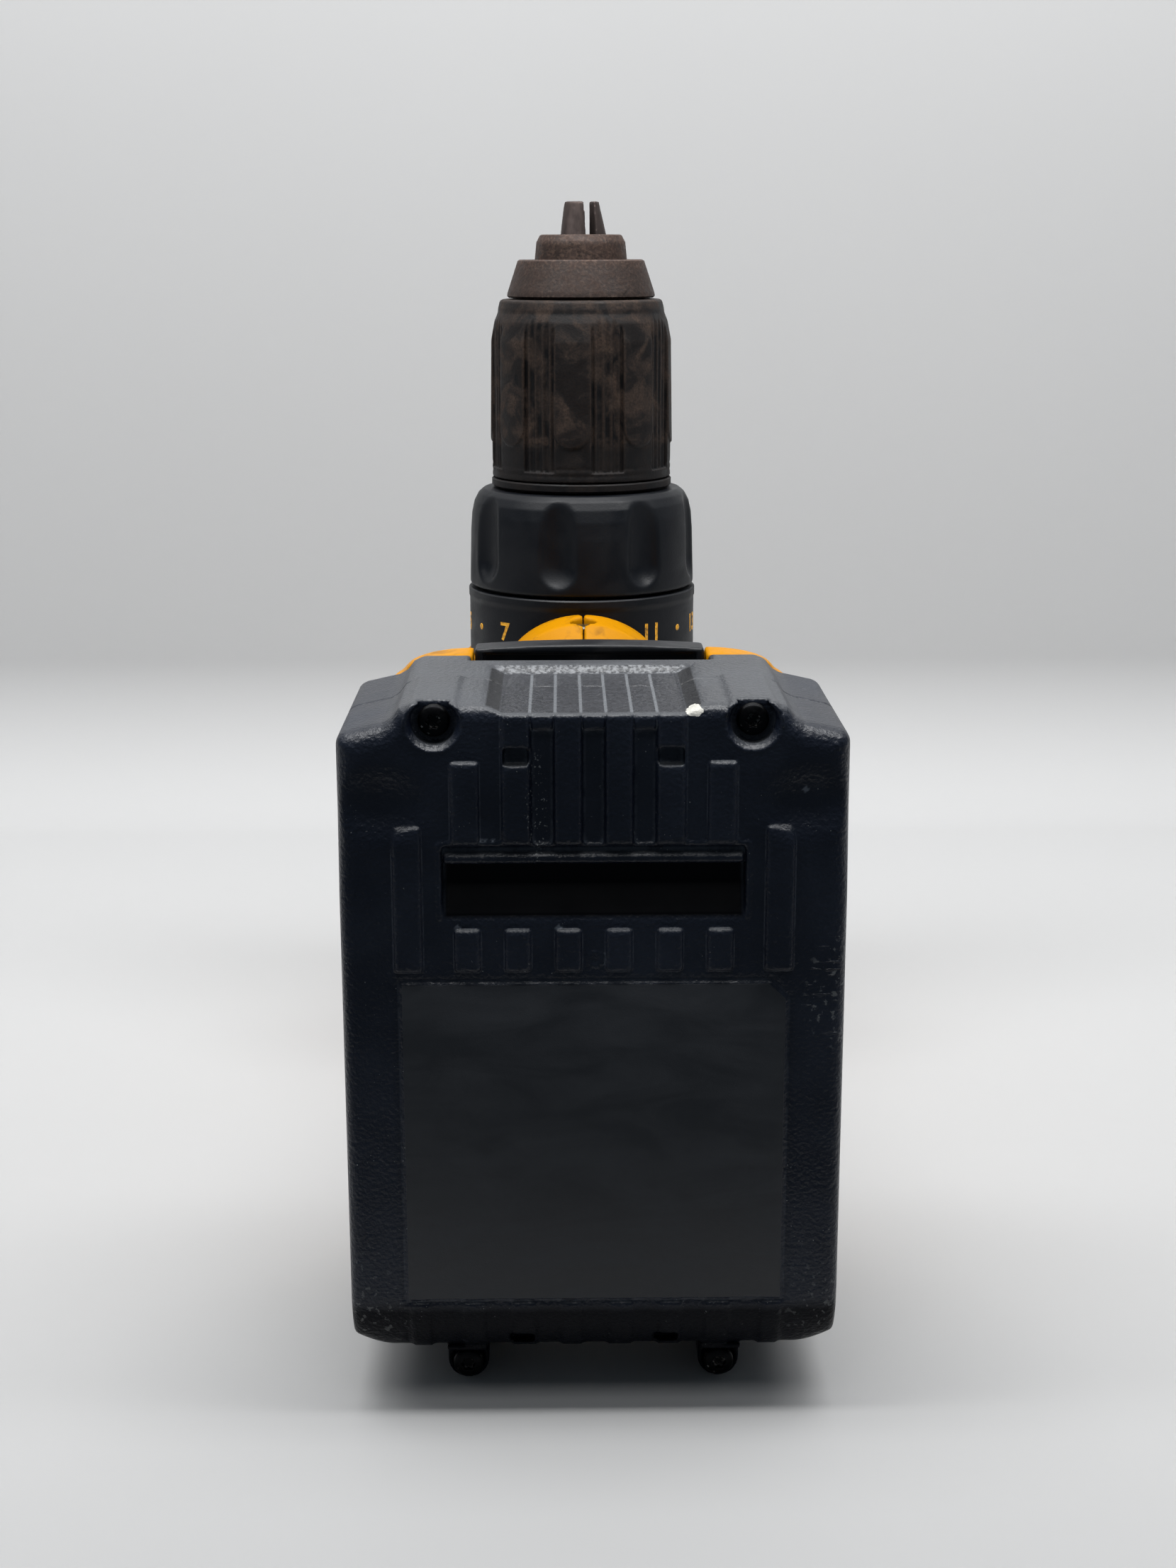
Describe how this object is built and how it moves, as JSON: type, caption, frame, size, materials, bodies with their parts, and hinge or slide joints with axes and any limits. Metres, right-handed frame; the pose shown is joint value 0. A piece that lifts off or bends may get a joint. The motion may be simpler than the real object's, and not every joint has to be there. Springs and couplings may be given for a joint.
{
  "type": "cordless drill",
  "caption": "Compact cordless drill driver with keyless three-jaw chuck, torque-setting collar, pistol grip and a slide-on battery pack, standing on the back of its motor housing.",
  "frame": {"origin": "on the chuck axis, in the plane of the rear face of the motor housing, which is also the plane the drill stands on", "axes": "+Z along the chuck axis from the rear face to the jaws, -Y from the barrel down the handle to the under-face of the battery pack, +X across the pack, the left side when the drill is held"},
  "size_m": [0.0806, 0.2252, 0.2002],
  "materials": {
    "yellow_housing": "fine moulded texture, slightly dirty",
    "grip_rubber": "soft overmould",
    "black_plastic": "fine moulded texture",
    "battery_plastic": "pebbled glass-filled nylon",
    "collar_plastic": "fine moulded texture, worn edges",
    "sleeve_plastic": "dusty, worn",
    "rusty_steel": "brown surface rust",
    "jaw_steel": "dark, worn",
    "dark_steel": "black oxide",
    "bright_steel": "ground",
    "spring_steel": "drawn wire",
    "cast_metal": "die cast",
    "copper": "enamelled winding",
    "white_plastic": "moulded",
    "cell_wrap": "shrink sleeve",
    "circuit_board": "solder mask",
    "led_lens": "moulded lens"
  },
  "bodies": {
    "housing": {"housing_left": "yellow_housing", "housing_right": "yellow_housing", "grip_left": "grip_rubber", "grip_right": "grip_rubber", "housing_screw_1": "dark_steel", "housing_screw_2": "dark_steel", "housing_screw_3": "dark_steel", "housing_screw_4": "dark_steel", "housing_screw_5": "dark_steel", "housing_screw_6": "dark_steel", "rear_cap": "black_plastic", "trigger_spring": "spring_steel", "switch_body": "black_plastic", "led_lens": "led_lens", "terminal_block": "black_plastic", "motor_can": "dark_steel", "brush_card": "white_plastic", "rear_bearing": "bright_steel", "ring_gear": "bright_steel", "gearcase": "cast_metal", "spindle_bearing": "bright_steel", "clutch_spring": "spring_steel"},
    "spindle": {"spindle": "bright_steel", "chuck_body": "rusty_steel", "chuck_front_cap": "rusty_steel", "chuck_rear_ring": "dark_steel", "chuck_screw": "dark_steel"},
    "sleeve": {"chuck_sleeve": "sleeve_plastic", "jaw_nut": "bright_steel"},
    "jaw_1": {"jaw_1": "jaw_steel"},
    "jaw_2": {"jaw_2": "jaw_steel"},
    "jaw_3": {"jaw_3": "jaw_steel"},
    "clutch": {"clutch_dial": "collar_plastic", "clutch_collar": "collar_plastic"},
    "carrier_1": {"carrier_1": "bright_steel"},
    "armature": {"armature": "copper", "motor_pinion": "bright_steel", "motor_fan": "black_plastic"},
    "planet_1_1": {"planet_1_1": "bright_steel"},
    "planet_1_2": {"planet_1_2": "bright_steel"},
    "planet_1_3": {"planet_1_3": "bright_steel"},
    "planet_2_1": {"planet_2_1": "bright_steel"},
    "planet_2_2": {"planet_2_2": "bright_steel"},
    "planet_2_3": {"planet_2_3": "bright_steel"},
    "trigger": {"trigger": "black_plastic"},
    "direction_lever": {"direction_lever": "black_plastic"},
    "speed_selector": {"speed_selector": "black_plastic"},
    "battery": {"battery_base_shell": "battery_plastic", "battery_top_shell": "battery_plastic", "button_spring": "spring_steel", "cell_row_lower": "cell_wrap", "cell_row_upper": "cell_wrap", "cell_holder_left": "white_plastic", "cell_holder_right": "white_plastic", "battery_board": "circuit_board", "pack_screw_front_left": "dark_steel", "pack_screw_rear_left": "dark_steel", "pack_screw_front_right": "dark_steel", "pack_screw_rear_right": "dark_steel"},
    "release_button": {"battery_release_button": "black_plastic"}
  },
  "joints": [
    {"name": "spindle_spin", "type": "hinge", "parent": "housing", "child": "spindle", "pos_m": [0, 0, 0.1], "axis": [0, 0, 1], "continuous": true},
    {"name": "carrier_1_spin", "type": "hinge", "parent": "housing", "child": "carrier_1", "pos_m": [0, 0, 0.075], "axis": [0, 0, 1], "continuous": true},
    {"name": "motor_spin", "type": "hinge", "parent": "housing", "child": "armature", "pos_m": [0, 0, 0.04], "axis": [0, 0, 1], "continuous": true},
    {"name": "planet_1_1_spin", "type": "hinge", "parent": "carrier_1", "child": "planet_1_1", "pos_m": [0.0105, 0, 0.07], "axis": [0, 0, 1], "continuous": true},
    {"name": "planet_1_2_spin", "type": "hinge", "parent": "carrier_1", "child": "planet_1_2", "pos_m": [-0.00525, 0.00909, 0.07], "axis": [0, 0, 1], "continuous": true},
    {"name": "planet_1_3_spin", "type": "hinge", "parent": "carrier_1", "child": "planet_1_3", "pos_m": [-0.00525, -0.00909, 0.07], "axis": [0, 0, 1], "continuous": true},
    {"name": "planet_2_1_spin", "type": "hinge", "parent": "spindle", "child": "planet_2_1", "pos_m": [0.0105, 0, 0.07], "axis": [0, 0, 1], "continuous": true},
    {"name": "planet_2_2_spin", "type": "hinge", "parent": "spindle", "child": "planet_2_2", "pos_m": [-0.00525, 0.00909, 0.07], "axis": [0, 0, 1], "continuous": true},
    {"name": "planet_2_3_spin", "type": "hinge", "parent": "spindle", "child": "planet_2_3", "pos_m": [-0.00525, -0.00909, 0.07], "axis": [0, 0, 1], "continuous": true},
    {"name": "sleeve_turn", "type": "hinge", "parent": "spindle", "child": "sleeve", "pos_m": [0, 0, 0.15], "axis": [0, 0, 1], "range_deg": [-1080, 3060]},
    {"name": "jaw_1_slide", "type": "slide", "parent": "spindle", "child": "jaw_1", "axis": [0.225, 0, -0.9744], "range_m": [-0.0061, 0.0171]},
    {"name": "jaw_2_slide", "type": "slide", "parent": "spindle", "child": "jaw_2", "axis": [-0.1125, 0.1948, -0.9744], "range_m": [-0.0061, 0.0171]},
    {"name": "jaw_3_slide", "type": "slide", "parent": "spindle", "child": "jaw_3", "axis": [-0.1125, -0.1948, -0.9744], "range_m": [-0.0061, 0.0171]},
    {"name": "clutch_turn", "type": "hinge", "parent": "housing", "child": "clutch", "pos_m": [0, 0, 0.11], "axis": [0, 0, 1], "range_deg": [0, 315]},
    {"name": "trigger_pull", "type": "slide", "parent": "housing", "child": "trigger", "axis": [0, 0, -1], "range_m": [0, 0.0065], "stiffness_N_per_m": 900, "springref_m": -0.002, "deforming": ["trigger_spring"]},
    {"name": "direction_shift", "type": "slide", "parent": "housing", "child": "direction_lever", "axis": [1, 0, 0], "range_m": [-0.003, 0.003]},
    {"name": "speed_shift", "type": "slide", "parent": "housing", "child": "speed_selector", "axis": [0, 0, 1], "range_m": [-0.004, 0.004]},
    {"name": "battery_slide", "type": "slide", "parent": "housing", "child": "battery", "axis": [0, 0, 1], "range_m": [0, 0.09]},
    {"name": "release_press", "type": "slide", "parent": "battery", "child": "release_button", "axis": [0, -1, 0], "range_m": [0, 0.003], "stiffness_N_per_m": 800, "springref_m": -0.002}
  ],
  "couplings": [
    {"joint": "carrier_1_spin", "follows": "spindle_spin", "ratio": 4.6667},
    {"joint": "motor_spin", "follows": "spindle_spin", "ratio": 21.778},
    {"joint": "planet_1_1_spin", "follows": "spindle_spin", "ratio": -12.833},
    {"joint": "planet_1_2_spin", "follows": "spindle_spin", "ratio": -12.833},
    {"joint": "planet_1_3_spin", "follows": "spindle_spin", "ratio": -12.833},
    {"joint": "planet_2_1_spin", "follows": "spindle_spin", "ratio": -2.75},
    {"joint": "planet_2_2_spin", "follows": "spindle_spin", "ratio": -2.75},
    {"joint": "planet_2_3_spin", "follows": "spindle_spin", "ratio": -2.75},
    {"joint": "jaw_1_slide", "follows": "sleeve_turn", "m_per_rad": 0.00031831},
    {"joint": "jaw_2_slide", "follows": "sleeve_turn", "m_per_rad": 0.00031831},
    {"joint": "jaw_3_slide", "follows": "sleeve_turn", "m_per_rad": 0.00031831}
  ]
}
